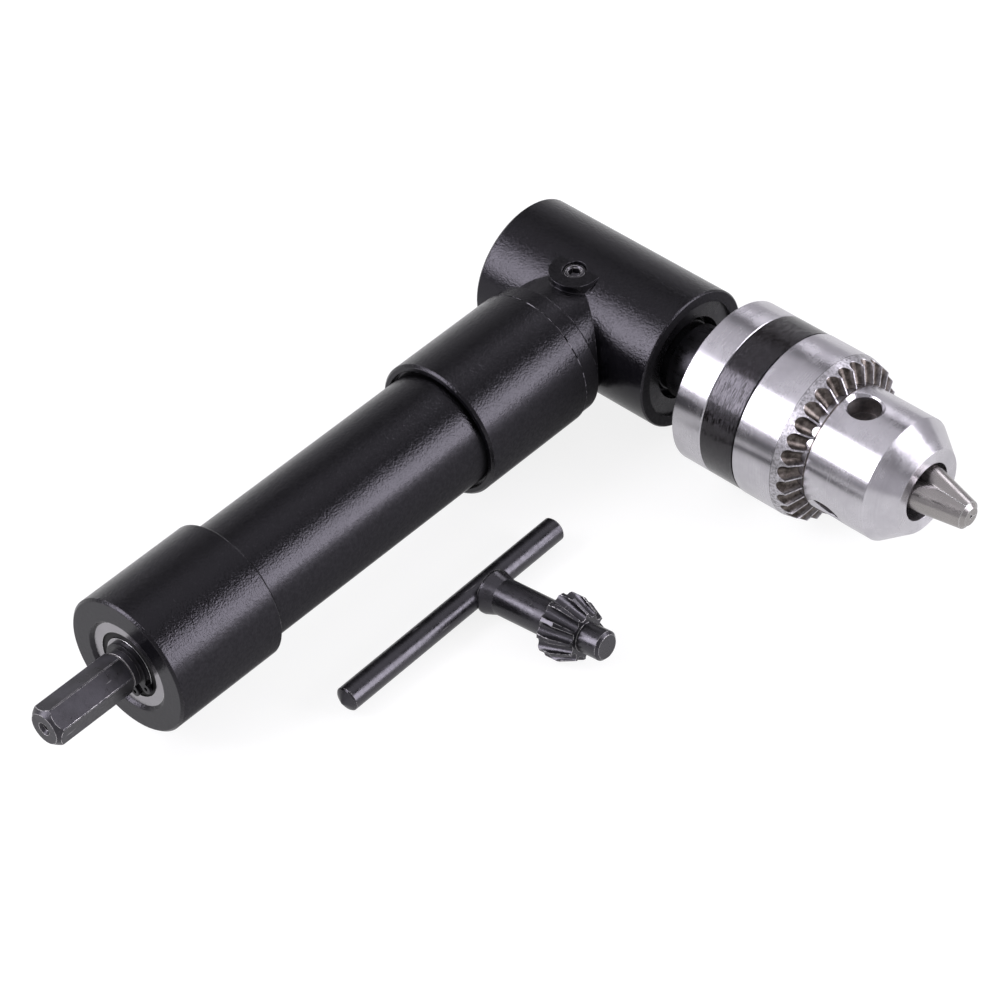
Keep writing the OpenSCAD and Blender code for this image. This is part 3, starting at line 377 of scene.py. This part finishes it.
def bright_steel(name, tone, rough, tint=(1, 0.97, 1.02), brush=(1, 1, 1)):
    """Ground steel. brush stretches its grain: the smallest of the three is the way that it was ground."""
    m = Mat(name)
    p = m.coords()
    grain = m.noise(m.stretch(p, tuple(2200 * b for b in brush)), 1.0, 3, 0.6)
    base = m.mix(m.noise(p, 200, 3), gray(tone * 0.75, tint), gray(tone, tint))
    lit_edge = gray(min(0.85, tone * 1.7))
    m.set(Base_Color=m.mix(m.edge(0.14 * mm, 0.99, 0.93), base, lit_edge), Metallic=1.0,
          Roughness=m.span(grain, 0.3, 0.7, rough - 0.05, rough + 0.07),
          Normal=m.bump(grain, 0.0015 * mm, m.bevel(0.1 * mm)))
    return m.mat


def rubber():
    m = Mat("seal_rubber")
    p = m.coords()
    m.set(Base_Color=m.mix(m.noise(p, 300, 3), gray(0.006), gray(0.015)), Roughness=0.6,
          Specular_IOR_Level=0.3, Normal=m.bump(m.noise(p, 1800, 3), 0.01 * mm))
    return m.mat


looks = {
    "paint": paint(),
    "nose": chuck_steel("turned_steel_body", 0.16 * mm, key_holes),
    "sleeve": chuck_steel("turned_steel_sleeve", 0.05 * mm, tooth_gaps, sleeve_rim),
    "band": band_steel(),
    "shank": dark_steel("shank_steel", 0.011, 0.34, 0.85, 0.5, 0.16 * mm, 0.38),
    "black": dark_steel("blackened_steel", 0.004, 0.27, 0.5, 0.75, 0.15 * mm, 0.42),
    # Near-black steel for the parts inside the head's mouth: painted shade.
    "deep": dark_steel("painted_shade_steel", 0.004, 0.3, 0.05, 0.35),
    "jaw": bright_steel("jaw_steel", 0.42, 0.25, (1, 0.95, 0.93), (1, 0.08, 1)),
    "race": bright_steel("race_steel", 0.42, 0.2),
    "gear": bright_steel("gear_steel", 0.35, 0.35),
    "brass": bright_steel("cage_brass", 0.4, 0.3, (1, 0.8, 0.45)),
    "rubber": rubber(),
}

# The pieces of each look. The other cages are brass, and the other races and balls are race steel.
dress = {
    "paint": ["rear_collar", "grip_tube", "front_collar", "head_housing"],
    "black": ["key_shank", "key_bar", "grease_screw"],
    # The parts inside the head's mouth, the outer bearing's brass cage and steel races among them, are made
    # near-black as painted shade.
    "deep": ["cover_plate", "spindle", "shaft_snap_ring", "spindle_snap_ring", "outer_spindle_outer_race",
             "outer_spindle_inner_race", "outer_spindle_balls", "outer_spindle_cage"],
    "band": ["black_band"],
    "nose": ["chuck_body"],
    "sleeve": ["gear_sleeve"],
    "jaw": ["jaw_one", "jaw_two", "jaw_three", "nut_half_upper", "nut_half_lower", "chuck_screw"],
    "shank": ["drive_shaft"],
    "rubber": ["rear_seal"],
    "gear": ["drive_pinion", "spindle_gear", "pinion_feather", "gear_feather"],
}
look_of = {name: kind for kind, names in dress.items() for name in names}
for name, obj in nodes.items():
    look = looks[look_of.get(name) or ("brass" if name.endswith("_cage") else "race")]
    if not obj.material_slots:
        obj.data.materials.append(look)
    for slot in obj.material_slots:
        slot.material = look


def camera():
    """The camera of the photograph, fitted to rims and edges of the part."""
    data = bpy.data.cameras.new("photo_camera")
    data.sensor_width = 36
    data.lens = 151.152
    data.clip_start = 0.05
    data.clip_end = 20
    obj = bpy.data.objects.new("photo_camera", data)
    obj.location = (-0.41414, -0.408855, 0.59025)
    obj.rotation_euler = [math.radians(a) for a in (46.4065, 2.2532, -47.4375)]
    scene.collection.objects.link(obj)
    scene.camera = obj


def floor():
    """A white floor that keeps the object's shadow.

    Its glow is what the camera and glossy or clear surfaces see of it.
    """
    half_width = 6
    mesh = bpy.data.meshes.new("floor")
    bm = bmesh.new()
    bmesh.ops.create_grid(bm, x_segments=2, y_segments=2, size=half_width)
    bm.to_mesh(mesh)
    bm.free()
    obj = bpy.data.objects.new("floor", mesh)
    obj.location.z = cad_lo.z
    scene.collection.objects.link(obj)

    mat = bpy.data.materials.new("floor")
    mat.use_nodes = True
    t = Tree(mat.node_tree)
    t.tree.nodes.clear()
    path = t.add("LightPath")
    rays = (("Is Camera Ray", 0.84), ("Is Glossy Ray", 0.58), ("Is Transmission Ray", 0.84))
    to_camera, to_glossy, to_clear = [t.calc("MULTIPLY", path.outputs[ray], share) for ray, share in rays]
    strength = t.calc("MAXIMUM", t.calc("MAXIMUM", to_camera, to_glossy), to_clear)
    both = t.fill(t.add("AddShader"), t.fill(t.add("BsdfDiffuse"), gray(0.22)),
                  t.fill(t.add("Emission"), gray(1), strength))
    t.tree.links.new(both, t.add("OutputMaterial").inputs[0])
    mesh.materials.append(mat)


def world():
    """A pale room: light low down and overhead, with a dark gap between; the camera sees plain white."""
    studio = bpy.data.worlds.new("studio")
    scene.world = studio
    studio.use_nodes = True
    t = Tree(studio.node_tree)
    ramp = t.add("ValToRGB")
    levels = ((0.0, 0.45), (0.25, 0.5), (0.55, 0.42), (0.65, 0.05), (0.73, 0.05), (0.79, 0.7), (1.0, 0.75))
    for _ in levels[2:]:
        ramp.color_ramp.elements.new(0.5)
    for element, (height, level) in zip(ramp.color_ramp.elements, levels):
        element.position = height
        element.color = gray(level, (1, 0.98, 1.04))
    way = t.add("SeparateXYZ")
    t.fill(way, t.add("TexCoord").outputs["Generated"])
    room = t.fill(ramp, way.outputs[2])
    seen = t.mix(t.add("LightPath").outputs["Is Camera Ray"], room, gray(1))
    t.fill(t.tree.nodes["Background"], seen, 1.0)


def softbox(name, way, distance, size, level):
    """An area lamp seen from the object in the direction way, as bright as level."""
    data = bpy.data.lights.new(name, "AREA")
    data.shape = "RECTANGLE"
    data.size, data.size_y = size
    data.energy = level * math.pi * size[0] * size[1]
    data.color = (1, 0.975, 1.05)
    obj = bpy.data.objects.new(name, data)
    obj.location = Vector(way).normalized() * distance
    obj.rotation_euler = (-obj.location).to_track_quat("-Z", "Y").to_euler()
    scene.collection.objects.link(obj)


camera()
floor()
world()
softbox("left_softbox", (-0.66, 0.5, 0.58), 1.2, (0.6, 0.86), 7.2)
softbox("front_softbox", (0.52, -0.80, 0.31), 1.3, (0.9, 0.98), 6.0)
softbox("rear_softbox", (0.02, 0.85, 0.52), 1.3, (0.5, 0.36), 3.2)
softbox("right_softbox", (0.79, 0.16, 0.59), 1.3, (0.36, 0.4), 3.2)
scene.view_settings.view_transform = "Standard"
